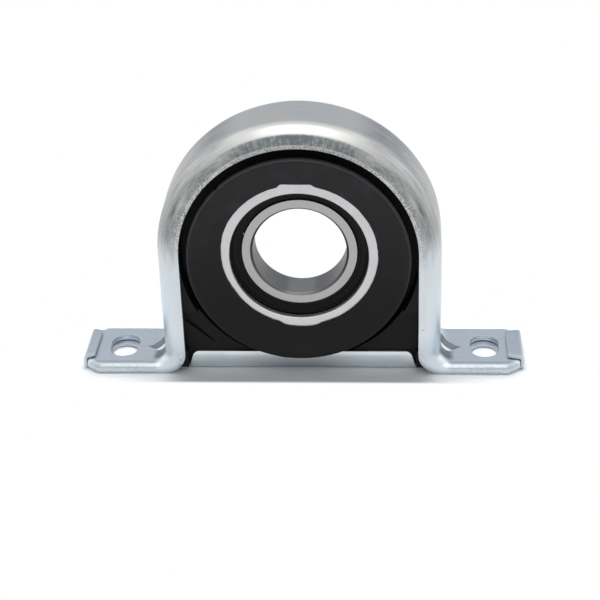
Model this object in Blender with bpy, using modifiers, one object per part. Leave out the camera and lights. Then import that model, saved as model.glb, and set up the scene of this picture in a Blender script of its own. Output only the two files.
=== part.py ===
"""Driveshaft centre bearing: a ball bearing held by a rubber cushion in a pressed steel hanger bracket.

The shaft runs along Y and its front is at -Y, X runs across the two feet, and Z is up.
The origin is in the middle of the base plate's underside, which is the face that bolts to the crossmember.
"""

import math

import bmesh
import bpy
from mathutils import Matrix, Vector

MM = 0.001

# Gap between pieces that touch on the real part
SEAT_GAP = 0.3 * MM

# Ball bearing: the balls run midway between the bore and the outside
BORE_DIAMETER = 40.0 * MM
BEARING_SECTION = 14.0 * MM
BEARING_WIDTH = 15.0 * MM
BEARING_DIAMETER = BORE_DIAMETER + 2.0 * BEARING_SECTION
PITCH_DIAMETER = BORE_DIAMETER + BEARING_SECTION
BALL_COUNT = 12
BALL_SHARE = 0.567
BALL_DIAMETER = BALL_SHARE * BEARING_SECTION
RING_WALL_SHARE = 0.33
INNER_SHOULDER_DIAMETER = BORE_DIAMETER + 2.0 * RING_WALL_SHARE * BEARING_SECTION
OUTER_SHOULDER_DIAMETER = BEARING_DIAMETER - 2.0 * RING_WALL_SHARE * BEARING_SECTION
BORE_CHAMFER = 1.0 * MM
RING_CHAMFER = 0.6 * MM
BALL_CLEARANCE = 0.15 * MM
CAGE_SHEET = 0.7 * MM
CAGE_SHARE = 0.62
CAGE_WIDTH = CAGE_SHARE * (OUTER_SHOULDER_DIAMETER - INNER_SHOULDER_DIAMETER) / 2.0
CAGE_SPLIT_GAP = 0.2 * MM
CAGE_CLEARANCE = 0.35 * MM
RIVET_DIAMETER = 1.2 * MM
RIVET_HEAD_DIAMETER = 2.2 * MM
RIVET_HEAD_HEIGHT = 0.4 * MM
RIVET_CLEARANCE = 0.15 * MM
SEAL_SHEET = 1.2 * MM
SEAL_INSET = 0.5 * MM
SEAL_LIP = 0.8 * MM

# Bearing cup: a sleeve round the bearing, turned in over both of its ends
CUP_SHEET = 1.7 * MM
CUP_LIP_SHEET = 2.8 * MM
CUP_END_ROOM = 1.5 * MM
CUP_CORNER = 1.2 * MM

# Hanger bracket: one strip, bent to an arch, with rolled edges
RUBBER_DEPTH = 26.0 * MM
ARCH_RADIUS = BEARING_DIAMETER / 2.0 + RUBBER_DEPTH
BRACKET_WIDTH = 34.0 * MM
BRACKET_SHEET = 2.4 * MM
ARCH_EDGE_RADIUS = 8.0 * MM
ARCH_EDGE_DEPTH = 9.6 * MM
FOOT_TOP = 4.0 * MM
FOOT_EDGE_RADIUS = 3.0 * MM
FOOT_BEND_RADIUS = 5.0 * MM
FOOT_LENGTH = 34.4 * MM
FOOT_END = ARCH_RADIUS + FOOT_LENGTH
FOOT_CHAMFER_LENGTH = 5.0 * MM
FOOT_CHAMFER_WIDTH = 4.0 * MM
SHEET_END_ROUND = 0.05 * MM
GUSSET_REACH = 9.0 * MM
GUSSET_HALF_WIDTH = 5.0 * MM

# Bolt holes
BOLT_REACH = 19.4 * MM
BOLT_SPACING = 2.0 * (ARCH_RADIUS + BOLT_REACH)
SLOT_WIDTH = 12.6 * MM
SLOT_LENGTH = 18.0 * MM
PLATE_HOLE_DIAMETER = 11.0 * MM

# Base plate: one strip under the feet, with upturned edges and folded end tabs
PLATE_WIDTH = 25.0 * MM
PLATE_SHEET = 1.3 * MM
PLATE_EDGE_HEIGHT = 8.6 * MM
PLATE_EDGE_SETBACK = 11.6 * MM
PLATE_EDGE_HALF_LENGTH = ARCH_RADIUS - PLATE_EDGE_SETBACK
PLATE_EDGE_CORNER = 2.0 * MM
PLATE_BEND_RADIUS = 1.6 * MM
TAB_REACH = 3.4 * MM
TAB_CORNER = 3.0 * MM

# Rubber cushion: two dished discs that stand clear of the arch's rolled edges and of the base
DISC_GAP = 3.1 * MM
DISC_DIAMETER = 2.0 * (ARCH_RADIUS - ARCH_EDGE_DEPTH - DISC_GAP)
DISC_FLOOR = 7.2 * MM
DISC_FRONT = BRACKET_WIDTH / 2.0
DISC_LIP_THICKNESS = 2.6 * MM
DISC_ROOT = 5.0 * MM
CUP_OVERLAP = 2.2 * MM
FLASH_THICKNESS = 0.8 * MM
HUB_WALL = 3.0 * MM
POCKET_ROOM = 3.5 * MM
POCKET_DIAMETER = DISC_DIAMETER + 2.0 * POCKET_ROOM
WEB_THICKNESS = 9.0 * MM
STEP_SHARE = 0.532

# Heights of the bearing's axis, the arch's centre and the cushion's corner steps
BEARING_HEIGHT = DISC_DIAMETER / 2.0 + DISC_FLOOR
ARCH_RISE = 1.5 * MM
ARCH_HEIGHT = BEARING_HEIGHT + ARCH_RISE
CORNER_STEP_HEIGHT = STEP_SHARE * BEARING_HEIGHT

ROUND_STEPS = 48
FULL_TURN = 2.0 * math.pi

ARCH_STEPS = 12
LEG_STEPS = 2
BEND_STEPS = 6
EDGE_STEPS = 4
GROOVE_STEPS = 5
POCKET_STEPS = 8
RIVET_SIDES = 6


# Materials: colour, metallic and roughness
MATERIALS = {
    "bracket_zinc": ((0.47, 0.50, 0.53), 1.0, 0.34),
    "plate_zinc": ((0.46, 0.48, 0.51), 1.0, 0.36),
    "cushion_rubber": ((0.022, 0.022, 0.024), 0.0, 0.62),
    "cup_steel": ((0.60, 0.60, 0.59), 1.0, 0.42),
    "outer_ring_steel": ((0.44, 0.43, 0.42), 1.0, 0.30),
    "inner_ring_steel": ((0.42, 0.41, 0.40), 1.0, 0.26),
    "ball_steel": ((0.62, 0.62, 0.62), 1.0, 0.10),
    "cage_steel": ((0.40, 0.37, 0.32), 1.0, 0.38),
    "seal_rubber": ((0.015, 0.015, 0.016), 0.0, 0.50),
}


def clear_scene():
    for thing in list(bpy.data.objects):
        bpy.data.objects.remove(thing, do_unlink=True)


def make_material(name):
    colour, metallic, roughness = MATERIALS[name]
    material = bpy.data.materials.new(name)
    material.use_nodes = True
    shader = material.node_tree.nodes["Principled BSDF"]
    shader.inputs["Base Color"].default_value = (*colour, 1.0)
    shader.inputs["Metallic"].default_value = metallic
    shader.inputs["Roughness"].default_value = roughness
    material.diffuse_color = (*colour, 1.0)
    return material


def make_collection(name):
    collection = bpy.data.collections.new(name)
    bpy.context.scene.collection.children.link(collection)
    return collection


def finish_shading(mesh, angle=35.0):
    for face in mesh.polygons:
        face.use_smooth = True
    mesh.set_sharp_from_angle(angle=math.radians(angle))


def add_object(name, mesh, collection, material=None, parent=None, location=(0.0, 0.0, 0.0)):
    thing = bpy.data.objects.new(name, mesh)
    collection.objects.link(thing)
    thing.location = location
    if parent is not None:
        thing.parent = parent
    if material is not None and not mesh.materials:
        mesh.materials.append(material)
    return thing


def add_empty(name, collection, location):
    empty = bpy.data.objects.new(name, None)
    empty.empty_display_size = BORE_DIAMETER
    empty.location = location
    collection.objects.link(empty)
    return empty


def mesh_from(build, name):
    """Runs build on a new bmesh and returns it as a mesh whose faces point out."""
    bm = bmesh.new()
    build(bm)
    bmesh.ops.recalc_face_normals(bm, faces=bm.faces)
    mesh = bpy.data.meshes.new(name)
    bm.to_mesh(mesh)
    bm.free()
    return mesh


def turned_mesh(name, profile, steps=ROUND_STEPS):
    """Turns a closed (radius, y) outline about the shaft's axis."""

    def build(bm):
        corners = [bm.verts.new((radius, y, 0.0)) for radius, y in profile]
        edges = [bm.edges.new((corners[i - 1], corners[i])) for i in range(len(corners))]
        bmesh.ops.spin(bm, geom=corners + edges, cent=(0.0, 0.0, 0.0), axis=(0.0, 1.0, 0.0),
                       angle=FULL_TURN, steps=steps, use_merge=True)
        bmesh.ops.remove_doubles(bm, verts=bm.verts, dist=0.001 * MM)

    mesh = mesh_from(build, name)
    finish_shading(mesh)
    return mesh


def loft_mesh(name, sections, closed=False):
    """Skins a row of closed sections that have the same number of points, with flat ends."""

    def build(bm):
        rows = [[bm.verts.new(point) for point in section] for section in sections]
        pairs = list(zip(rows, rows[1:]))
        if closed:
            pairs.append((rows[-1], rows[0]))
        for near, far in pairs:
            for i in range(len(near)):
                bm.faces.new((near[i - 1], near[i], far[i], far[i - 1]))
        if not closed:
            bm.faces.new(rows[0])
            bm.faces.new(rows[-1])

    mesh = mesh_from(build, name)
    finish_shading(mesh)
    return mesh


def cut(thing, cutter):
    modifier = thing.modifiers.new(cutter.name, "BOOLEAN")
    modifier.operation = "DIFFERENCE"
    modifier.solver = "EXACT"
    modifier.object = cutter


def join(thing, other):
    modifier = thing.modifiers.new(other.name, "BOOLEAN")
    modifier.operation = "UNION"
    modifier.solver = "EXACT"
    modifier.object = other


def add_cutter(name, mesh, cutters, location=(0.0, 0.0, 0.0)):
    thing = add_object(name, mesh, cutters, location=location)
    thing.hide_render = True
    thing.display_type = "WIRE"
    return thing


def box_mesh(name, low, high):
    size = [b - a for a, b in zip(low, high)]
    middle = [(a + b) / 2.0 for a, b in zip(low, high)]

    def build(bm):
        bmesh.ops.create_cube(bm, size=1.0)
        bmesh.ops.scale(bm, vec=size, verts=bm.verts)
        bmesh.ops.translate(bm, vec=middle, verts=bm.verts)

    return mesh_from(build, name)


def cylinder_mesh(name, radius, depth, axis="Z", steps=ROUND_STEPS):
    def build(bm):
        turn = Matrix.Rotation(math.radians(90.0), 4, "X") if axis == "Y" else Matrix.Identity(4)
        bmesh.ops.create_cone(bm, cap_ends=True, segments=steps, radius1=radius, radius2=radius,
                              depth=depth, matrix=turn)

    return mesh_from(build, name)


def slot_mesh(name, width, length, depth, steps=12):
    """A round-ended slot along Y, cut down Z."""

    def build(bm):
        radius = width / 2.0
        reach = (length - width) / 2.0
        outline = []
        for end in (1.0, -1.0):
            for i in range(steps + 1):
                angle = math.pi * i / steps
                outline.append((end * radius * math.cos(angle), end * (reach + radius * math.sin(angle))))
        face = bm.faces.new([bm.verts.new((x, y, -depth / 2.0)) for x, y in outline])
        raised = bmesh.ops.extrude_face_region(bm, geom=[face])["geom"]
        moved = [v for v in raised if isinstance(v, bmesh.types.BMVert)]
        bmesh.ops.translate(bm, vec=(0.0, 0.0, depth), verts=moved)

    return mesh_from(build, name)


def blend(a, b, t):
    """Eases from a to b as t runs from 0 to 1."""
    t = min(max(t, 0.0), 1.0)
    return a + (b - a) * t * t * (3.0 - 2.0 * t)


# Hanger bracket


def bracket_stations():
    """Places along the strip's outer face, from the crown to the right foot's end.

    Each one is x, z, the outward direction, how far the section has changed from arch to foot, half its width,
    and whether its edges are turned down.
    """
    rows = []
    half = BRACKET_WIDTH / 2.0
    for i in range(ARCH_STEPS + 1):
        angle = math.radians(90.0) * (1.0 - i / ARCH_STEPS)
        out = Vector((math.cos(angle), math.sin(angle)))
        rows.append((ARCH_RADIUS * out.x, ARCH_HEIGHT + ARCH_RADIUS * out.y, out, 0.0, half, True))
    bend_top = FOOT_TOP + FOOT_BEND_RADIUS
    gusset_top = FOOT_TOP + GUSSET_REACH
    leg_heights = [ARCH_HEIGHT + (gusset_top + GUSSET_REACH - ARCH_HEIGHT) * i / LEG_STEPS
                   for i in range(1, LEG_STEPS + 1)]
    leg_heights += [gusset_top, (gusset_top + bend_top) / 2.0]
    for z in leg_heights:
        rows.append((ARCH_RADIUS, z, Vector((1.0, 0.0)), 0.0, half, True))
    for i in range(BEND_STEPS + 1):
        angle = math.radians(90.0) * i / BEND_STEPS
        out = Vector((math.cos(angle), math.sin(angle)))
        x = ARCH_RADIUS + FOOT_BEND_RADIUS * (1.0 - out.x)
        z = bend_top - FOOT_BEND_RADIUS * out.y
        rows.append((x, z, out, i / BEND_STEPS, half, True))
    reach_end = ARCH_RADIUS + GUSSET_REACH
    bend_end = ARCH_RADIUS + FOOT_BEND_RADIUS
    up = Vector((0.0, 1.0))
    for x in ((bend_end + reach_end) / 2.0, reach_end, FOOT_END - FOOT_CHAMFER_LENGTH):
        rows.append((x, FOOT_TOP, up, 1.0, half, True))
    clear_of_plate = PLATE_WIDTH / 2.0 + SEAT_GAP + BRACKET_SHEET
    lip_share = (half - clear_of_plate) / FOOT_CHAMFER_WIDTH
    lip_end = FOOT_END - FOOT_CHAMFER_LENGTH * (1.0 - lip_share)
    rows.append((lip_end, FOOT_TOP, up, 1.0, clear_of_plate, True))
    rows.append((lip_end + SEAT_GAP, FOOT_TOP, up, 1.0, clear_of_plate, False))
    rows.append((FOOT_END, FOOT_TOP, up, 1.0, half - FOOT_CHAMFER_WIDTH, False))
    return rows


def gusset_rise(x, z, out, y):
    """Height of the pressed dimple that bridges the bend, along the outward direction."""
    run = (x - ARCH_RADIUS) + (z - FOOT_TOP)
    lean = out.x + out.y
    rise = (GUSSET_REACH - run) / lean
    return max(rise, 0.0) * max(1.0 - abs(y) / GUSSET_HALF_WIDTH, 0.0)


def channel_section(share, half, turned_down):
    """Half of the strip's outer skin and inner skin as (y, depth), from the middle to the rolled edge."""
    radius = blend(ARCH_EDGE_RADIUS, FOOT_EDGE_RADIUS, share) if turned_down else BRACKET_SHEET + SHEET_END_ROUND
    depth = blend(ARCH_EDGE_DEPTH, FOOT_TOP, share) if turned_down else radius + SHEET_END_ROUND
    flats = [0.0, GUSSET_HALF_WIDTH / 2.0, GUSSET_HALF_WIDTH]
    outer = [(y, 0.0) for y in flats]
    inner = [(y, BRACKET_SHEET) for y in flats]
    for i in range(EDGE_STEPS + 1):
        angle = math.radians(90.0) * i / EDGE_STEPS
        outer.append((half - radius + radius * math.sin(angle), radius - radius * math.cos(angle)))
        small = radius - BRACKET_SHEET
        inner.append((half - radius + small * math.sin(angle), radius - small * math.cos(angle)))
    outer.append((half, depth))
    inner.append((half - BRACKET_SHEET, depth))
    return outer, inner


def bracket_section(x, z, out, share, half, turned_down):
    outer, inner = channel_section(share, half, turned_down)
    outline = [(-y, depth) for y, depth in reversed(outer[1:])] + outer
    outline += list(reversed(inner)) + [(-y, depth) for y, depth in inner[1:]]
    points = []
    for y, depth in outline:
        drop = depth - gusset_rise(x, z, out, y)
        points.append((x - out.x * drop, y, z - out.y * drop))
    return points


def make_bracket(parts, cutters, material):
    sections = [bracket_section(*row) for row in bracket_stations()]
    mesh = loft_mesh("hanger_bracket", sections)
    open_half(mesh)
    bracket = add_object("hanger_bracket", mesh, parts, material)
    mirror = bracket.modifiers.new("other side", "MIRROR")
    mirror.use_axis = (True, False, False)
    mirror.merge_threshold = 0.01 * MM
    for side, sign in (("left", -1.0), ("right", 1.0)):
        slot = add_cutter(f"bolt_slot_{side}", slot_mesh("bolt_slot", SLOT_WIDTH, SLOT_LENGTH, 4.0 * FOOT_TOP),
                          cutters, (sign * BOLT_SPACING / 2.0, 0.0, 0.0))
        cut(bracket, slot)
    return bracket


def open_half(mesh):
    """Takes the end face off at the middle plane, where the mirrored half joins."""
    bm = bmesh.new()
    bm.from_mesh(mesh)
    ends = [face for face in bm.faces if all(abs(v.co.x) < 0.001 * MM for v in face.verts)]
    bmesh.ops.delete(bm, geom=ends, context="FACES_ONLY")
    bm.to_mesh(mesh)
    bm.free()


# Base plate


def plate_profile(tab_reach):
    """The right half of the folded strip's outline as (x, z): along the underside, round the end and over the foot."""
    end = FOOT_END + SEAT_GAP + PLATE_SHEET
    top = FOOT_TOP + SEAT_GAP + PLATE_SHEET
    outer = [(0.0, 0.0)]
    inner = [(0.0, PLATE_SHEET)]
    for cx, cz, start in ((end, 0.0, -90.0), (end, top, 0.0)):
        side = 1.0 if start < 0.0 else -1.0
        middle = (cx - PLATE_BEND_RADIUS, cz + side * PLATE_BEND_RADIUS)
        for i in range(EDGE_STEPS + 1):
            angle = math.radians(start + 90.0 * i / EDGE_STEPS)
            small = PLATE_BEND_RADIUS - PLATE_SHEET
            outer.append((middle[0] + PLATE_BEND_RADIUS * math.cos(angle),
                          middle[1] + PLATE_BEND_RADIUS * math.sin(angle)))
            inner.append((middle[0] + small * math.cos(angle), middle[1] + small * math.sin(angle)))
    outer.append((end - PLATE_SHEET - tab_reach, top))
    inner.append((end - PLATE_SHEET - tab_reach, top - PLATE_SHEET))
    return outer + list(reversed(inner))


def make_base_plate(parts, cutters, material):
    half = PLATE_WIDTH / 2.0
    cut_reach = TAB_REACH - TAB_CORNER
    rows = ((-half, cut_reach), (-half + TAB_CORNER, TAB_REACH), (half - TAB_CORNER, TAB_REACH), (half, cut_reach))
    sections = [[(x, y, z) for x, z in plate_profile(reach)] for y, reach in rows]
    mesh = loft_mesh("base_plate", sections)
    open_half(mesh)
    plate = add_object("base_plate", mesh, parts, material)
    mirror = plate.modifiers.new("other side", "MIRROR")
    mirror.use_axis = (True, False, False)
    mirror.merge_threshold = 0.01 * MM
    for name, sign in (("front_edge", -1.0), ("rear_edge", 1.0)):
        join(plate, add_cutter(name, plate_edge_mesh(name, sign), cutters))
    for side, sign in (("left", -1.0), ("right", 1.0)):
        hole = cylinder_mesh("plate_hole", PLATE_HOLE_DIAMETER / 2.0, 4.0 * PLATE_SHEET, steps=24)
        cut(plate, add_cutter(f"plate_hole_{side}", hole, cutters, (sign * BOLT_SPACING / 2.0, 0.0, 0.0)))
    return plate


def plate_edge_mesh(name, sign):
    """An upturned edge: a bar with rounded upper corners."""
    outside = sign * PLATE_WIDTH / 2.0
    inside = outside - sign * PLATE_SHEET
    reach = PLATE_EDGE_HALF_LENGTH
    middle = reach - PLATE_EDGE_CORNER
    outline = [(-reach, 0.0), (reach, 0.0)]
    for side in (1.0, -1.0):
        for i in range(EDGE_STEPS + 1):
            angle = math.radians(90.0) * (i / EDGE_STEPS if side > 0.0 else 1.0 - i / EDGE_STEPS)
            outline.append((side * (middle + PLATE_EDGE_CORNER * math.cos(angle)),
                            PLATE_EDGE_HEIGHT - PLATE_EDGE_CORNER * (1.0 - math.sin(angle))))
    return loft_mesh(name, [[(x, y, z) for x, z in outline] for y in (outside, inside)])


# Ball bearing and its cup


def ring_with_groove(face_radius, shoulder, groove_bottom, chamfer):
    """Outline of a bearing ring as (radius, y), with the raceway on the shoulder's side."""
    half = BEARING_WIDTH / 2.0
    groove = BALL_DIAMETER / 2.0 + BALL_CLEARANCE
    pitch = PITCH_DIAMETER / 2.0
    side = 1.0 if shoulder > face_radius else -1.0
    reach = math.acos(min(abs(shoulder - pitch) / groove, 1.0))
    points = [
        (face_radius + side * chamfer, -half),
        (face_radius, -half + chamfer),
        (face_radius, half - chamfer),
        (face_radius + side * chamfer, half),
        (shoulder - side * RING_CHAMFER, half),
        (shoulder, half - RING_CHAMFER),
    ]
    for i in range(GROOVE_STEPS + 1):
        angle = reach * (1.0 - 2.0 * i / GROOVE_STEPS)
        points.append((pitch - side * groove * math.cos(angle), groove * math.sin(angle)))
    points += [(shoulder, -half + RING_CHAMFER), (shoulder - side * RING_CHAMFER, -half)]
    return points


def make_rings(parts, axis, shaft_hub, outer_material, inner_material):
    pitch = PITCH_DIAMETER / 2.0
    groove = BALL_DIAMETER / 2.0 + BALL_CLEARANCE
    outer = ring_with_groove(BEARING_DIAMETER / 2.0, OUTER_SHOULDER_DIAMETER / 2.0, pitch + groove, RING_CHAMFER)
    inner = ring_with_groove(BORE_DIAMETER / 2.0, INNER_SHOULDER_DIAMETER / 2.0, pitch - groove, BORE_CHAMFER)
    add_object("outer_ring", turned_mesh("outer_ring", outer), parts, outer_material, axis)
    add_object("inner_ring", turned_mesh("inner_ring", inner), parts, inner_material, shaft_hub)


def make_balls(parts, cage_hub, material):
    def build(bm):
        bmesh.ops.create_uvsphere(bm, u_segments=12, v_segments=8, radius=BALL_DIAMETER / 2.0)

    mesh = mesh_from(build, "ball")
    finish_shading(mesh, 180.0)
    pitch = PITCH_DIAMETER / 2.0
    for number in range(BALL_COUNT):
        angle = FULL_TURN * number / BALL_COUNT
        place = (pitch * math.sin(angle), 0.0, pitch * math.cos(angle))
        add_object(f"ball_{number + 1:02d}", mesh, parts, material, cage_hub, place)


def cage_mesh(name, side):
    """One pressed half of the cage: flat between the balls and bulged round each of them."""
    pitch = PITCH_DIAMETER / 2.0
    pocket = BALL_DIAMETER / 2.0 + CAGE_CLEARANCE
    flat = CAGE_SPLIT_GAP / 2.0
    share = math.asin(pocket / pitch) / (math.pi / BALL_COUNT)
    sections = []
    for ball in range(BALL_COUNT):
        for i in range(POCKET_STEPS):
            local = -1.0 + 2.0 * i / POCKET_STEPS
            angle = math.pi * (2.0 * ball + local) / BALL_COUNT
            along = min(abs(local) / share, 1.0)
            rise = flat + pocket * math.sqrt(1.0 - along * along)
            sections.append(cage_section(angle, side, rise))
    return loft_mesh(name, sections, closed=True)


def cage_section(angle, side, rise):
    pitch = PITCH_DIAMETER / 2.0
    out = Vector((math.sin(angle), 0.0, math.cos(angle)))
    points = []
    for radial, axial in ((-1.0, 0.0), (1.0, 0.0), (1.0, 1.0), (-1.0, 1.0)):
        place = out * (pitch + radial * CAGE_WIDTH / 2.0)
        place.y = side * (rise + axial * CAGE_SHEET)
        points.append(place)
    return points


def rivets_mesh(name, rings):
    """Turned pins between the balls, along the shaft, from (radius, y) rings."""

    def build(bm):
        pitch = PITCH_DIAMETER / 2.0
        for ball in range(BALL_COUNT):
            angle = math.pi * (2.0 * ball + 1.0) / BALL_COUNT
            rows = []
            for radius, y in rings:
                row = []
                for i in range(RIVET_SIDES):
                    turn = FULL_TURN * i / RIVET_SIDES
                    row.append(bm.verts.new((pitch * math.sin(angle) + radius * math.cos(turn), y,
                                             pitch * math.cos(angle) + radius * math.sin(turn))))
                rows.append(row)
            for near, far in zip(rows, rows[1:]):
                for i in range(RIVET_SIDES):
                    bm.faces.new((near[i - 1], near[i], far[i], far[i - 1]))
            bm.faces.new(rows[0])
            bm.faces.new(rows[-1])

    return mesh_from(build, name)


def make_cage(parts, cutters, cage_hub, material):
    """The rivets are one with the front half and pass through holes in the rear half."""
    front = add_object("cage_front", cage_mesh("cage_front", -1.0), parts, material, cage_hub)
    rear = add_object("cage_rear", cage_mesh("cage_rear", 1.0), parts, material, cage_hub)
    centre = (0.0, 0.0, BEARING_HEIGHT)
    face = CAGE_SPLIT_GAP / 2.0 + CAGE_SHEET
    shank = RIVET_DIAMETER / 2.0
    head = RIVET_HEAD_DIAMETER / 2.0
    seat = face + RIVET_CLEARANCE
    rings = [(head, -face - RIVET_HEAD_HEIGHT), (head, -face + RIVET_CLEARANCE), (shank, -face + RIVET_CLEARANCE),
             (shank, seat), (head, seat), (head, seat + RIVET_HEAD_HEIGHT)]
    join(front, add_cutter("rivets", rivets_mesh("rivets", rings), cutters, centre))
    hole = shank + RIVET_CLEARANCE
    holes = rivets_mesh("rivet_holes", [(hole, 0.0), (hole, 2.0 * face)])
    cut(rear, add_cutter("rivet_holes", holes, cutters, centre))


def seal_profile(side):
    """A flat ring in the outer ring's recess, with a lip that runs close to the inner ring."""
    face = side * (BEARING_WIDTH / 2.0 - SEAL_INSET)
    back = face - side * SEAL_SHEET
    outside = OUTER_SHOULDER_DIAMETER / 2.0 - SEAT_GAP
    inside = INNER_SHOULDER_DIAMETER / 2.0 + SEAT_GAP
    return [
        (outside, face),
        (outside, back),
        (inside + SEAL_LIP, back),
        (inside, back + side * SEAL_SHEET / 3.0),
        (inside, face - side * SEAL_SHEET / 3.0),
        (inside + SEAL_LIP, face),
    ]


def make_seals(parts, axis, material):
    for name, side in (("front_seal", -1.0), ("rear_seal", 1.0)):
        add_object(name, turned_mesh(name, seal_profile(side)), parts, material, axis)


def cup_outer_radius():
    return BEARING_DIAMETER / 2.0 + SEAT_GAP + CUP_SHEET


def cup_half_length():
    return BEARING_WIDTH / 2.0 + CUP_END_ROOM + CUP_LIP_SHEET


def make_cup(parts, axis, material):
    outside = cup_outer_radius()
    inside = outside - CUP_SHEET
    lip = OUTER_SHOULDER_DIAMETER / 2.0
    end = cup_half_length()
    room = end - CUP_LIP_SHEET
    half = [
        (inside, room),
        (lip, room),
        (lip, end - RING_CHAMFER),
        (lip + RING_CHAMFER, end),
        (outside - CUP_CORNER, end),
        (outside, end - CUP_CORNER),
    ]
    profile = half + [(radius, -y) for radius, y in reversed(half)]
    add_object("bearing_cup", turned_mesh("bearing_cup", profile), parts, material, axis)


# Rubber cushion


def cushion_body_mesh():
    """The block that fills the inside of the arch, down to the base plate."""
    radius = ARCH_RADIUS - BRACKET_SHEET - SEAT_GAP
    half = BRACKET_WIDTH / 2.0 - BRACKET_SHEET - SEAT_GAP
    corner = ARCH_EDGE_RADIUS - BRACKET_SHEET
    floor = PLATE_SHEET + SEAT_GAP
    steps = ROUND_STEPS // 4

    def outline(inset):
        reach = radius - inset
        points = [(0.0, floor), (reach, floor)]
        for i in range(steps + 1):
            angle = math.radians(90.0) * i / steps
            points.append((reach * math.cos(angle), ARCH_HEIGHT + reach * math.sin(angle)))
        return points

    rings = []
    for side in (-1.0, 1.0):
        for i in range(EDGE_STEPS + 1):
            turn = i if side < 0.0 else EDGE_STEPS - i
            angle = math.radians(90.0) * turn / EDGE_STEPS
            inset = corner * (1.0 - math.sin(angle))
            y = side * (half - corner * (1.0 - math.cos(angle)))
            rings.append([(x, y, z) for x, z in outline(inset)])
    mesh = loft_mesh("rubber_cushion", rings)
    open_half(mesh)
    return mesh


def disc_profile():
    """Hub and both dished discs as (radius, y), turned about the shaft's axis."""
    bore = cup_outer_radius() + SEAT_GAP
    face = cup_half_length() + SEAT_GAP
    overlap = bore - SEAT_GAP - CUP_OVERLAP
    rim = DISC_DIAMETER / 2.0
    hub = bore + HUB_WALL
    run = rim - hub
    half = [
        (bore, face - CUP_CORNER),
        (bore - CUP_CORNER, face),
        (overlap, face),
        (overlap, face + FLASH_THICKNESS),
        (bore, face + 2.0 * FLASH_THICKNESS),
        (hub + 0.45 * run, face + 2.6 * FLASH_THICKNESS),
        (rim - 0.22 * run, DISC_FRONT - 0.10 * DISC_LIP_THICKNESS),
        (rim - 0.10 * run, DISC_FRONT),
        (rim, DISC_FRONT - 0.4 * DISC_LIP_THICKNESS),
        (rim, DISC_FRONT - DISC_LIP_THICKNESS),
        (rim - 0.16 * run, DISC_FRONT - 1.5 * DISC_LIP_THICKNESS),
        (hub + 0.30 * run, face - 0.5 * DISC_LIP_THICKNESS),
        (hub, DISC_ROOT),
    ]
    return half + [(radius, -y) for radius, y in reversed(half)]


def make_cushion(parts, cutters, material):
    cushion = add_object("rubber_cushion", cushion_body_mesh(), parts, material)
    mirror = cushion.modifiers.new("other side", "MIRROR")
    mirror.use_axis = (True, False, False)
    mirror.merge_threshold = 0.01 * MM
    centre = (0.0, 0.0, BEARING_HEIGHT)
    half = BRACKET_WIDTH / 2.0
    web = WEB_THICKNESS / 2.0
    for name, side in (("front_pocket", -1.0), ("rear_pocket", 1.0)):
        mesh = cylinder_mesh(name, POCKET_DIAMETER / 2.0, half, "Y")
        place = (0.0, side * (web + half / 2.0), BEARING_HEIGHT)
        cut(cushion, add_cutter(name, mesh, cutters, place))
    bore = cylinder_mesh("cup_bore", cup_outer_radius() + SEAT_GAP + HUB_WALL / 2.0, BRACKET_WIDTH, "Y")
    cut(cushion, add_cutter("cup_bore", bore, cutters, centre))
    step_inside = PLATE_WIDTH / 2.0 - PLATE_SHEET - SEAT_GAP
    reach = PLATE_EDGE_HALF_LENGTH + SEAT_GAP
    for name, side in (("front_step", -1.0), ("rear_step", 1.0)):
        ends = sorted((side * step_inside, side * half))
        mesh = box_mesh(name, (-reach, ends[0], 0.0), (reach, ends[1], CORNER_STEP_HEIGHT))
        cut(cushion, add_cutter(name, mesh, cutters))
    join(cushion, add_cutter("hub_and_discs", turned_mesh("hub_and_discs", disc_profile()), cutters, centre))
    return cushion


def main():
    clear_scene()
    parts = make_collection("driveshaft_centre_bearing")
    cutters = make_collection("cutters")
    look = {name: make_material(name) for name in MATERIALS}
    centre = (0.0, 0.0, BEARING_HEIGHT)
    axis = add_empty("bearing_axis", parts, centre)
    shaft_hub = add_empty("inner_ring_axis", parts, centre)
    cage_hub = add_empty("cage_axis", parts, centre)
    make_bracket(parts, cutters, look["bracket_zinc"])
    make_base_plate(parts, cutters, look["plate_zinc"])
    make_cushion(parts, cutters, look["cushion_rubber"])
    make_cup(parts, axis, look["cup_steel"])
    make_rings(parts, axis, shaft_hub, look["outer_ring_steel"], look["inner_ring_steel"])
    make_seals(parts, axis, look["seal_rubber"])
    make_cage(parts, cutters, cage_hub, look["cage_steel"])
    make_balls(parts, cage_hub, look["ball_steel"])


if __name__ == "__main__":
    main()
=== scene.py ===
"""Driveshaft centre bearing: its visible pieces, finishes, stage and camera.

Lengths are in metres. Only length, noise, cells, ramp and surface are given millimetres.
The shaft runs along Y and its front is at -Y, X runs across the two feet, and Z is up.
"""

import math

import bmesh
import bpy
from bpy.props import FloatProperty, FloatVectorProperty, IntProperty, PointerProperty
from bpy.types import Operator, Panel, PropertyGroup
from mathutils import Matrix, Vector, noise


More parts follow.
